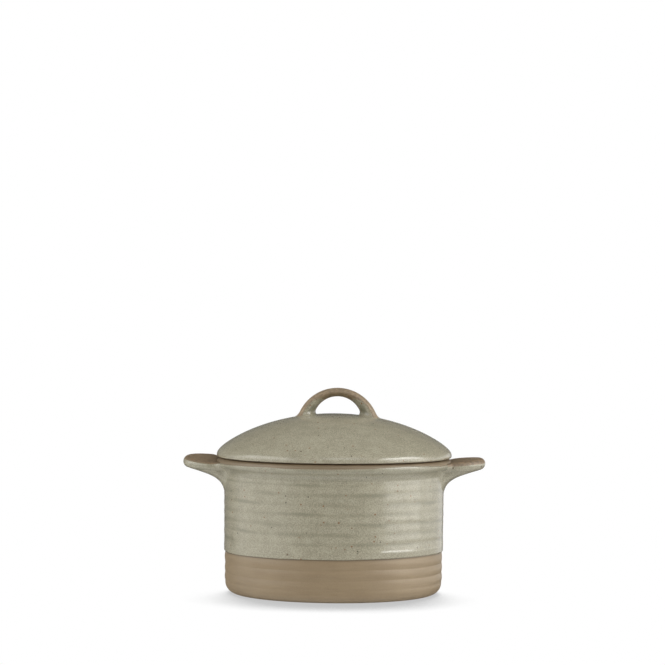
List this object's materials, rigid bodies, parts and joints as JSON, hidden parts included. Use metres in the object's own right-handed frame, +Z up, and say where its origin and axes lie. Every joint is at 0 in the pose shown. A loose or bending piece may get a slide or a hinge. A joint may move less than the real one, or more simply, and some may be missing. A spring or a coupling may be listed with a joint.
{
  "type": "lidded cocotte",
  "caption": "Straight-walled stoneware cocotte with throwing rings, speckled glaze over a bare clay band, lug handles at the rim and a domed lift-off lid with a loop handle.",
  "frame": {"origin": "centre of the foot, on the surface the pot stands on", "axes": "+Z up along the pot's axis, +X through the right lug handle, +Y away from the picture's viewer"},
  "size_m": [0.165, 0.129, 0.1121],
  "materials": {
    "bare_stoneware": "unglazed fired stoneware, matt, with fine throwing lines",
    "wall_glaze": "speckled grey-green glaze, satin gloss",
    "liner_glaze": "speckled grey-green glaze, satin gloss",
    "handle_glaze": "speckled grey-green glaze that breaks to brown on the edges and tops",
    "lid_glaze": "speckled grey-green glaze, satin gloss"
  },
  "bodies": {
    "pot": {"pot_body": "bare_stoneware", "outer_glaze_coat": "wall_glaze", "liner_glaze_coat": "liner_glaze", "left_lug_handle": "handle_glaze", "right_lug_handle": "handle_glaze"},
    "lid": {"lid_dome": "lid_glaze", "lid_loop_handle": "handle_glaze"}
  },
  "joints": [
    {"name": "lid_lift", "type": "slide", "parent": "pot", "child": "lid", "axis": [0, 0, 1], "range_m": [0, 0.1]}
  ]
}
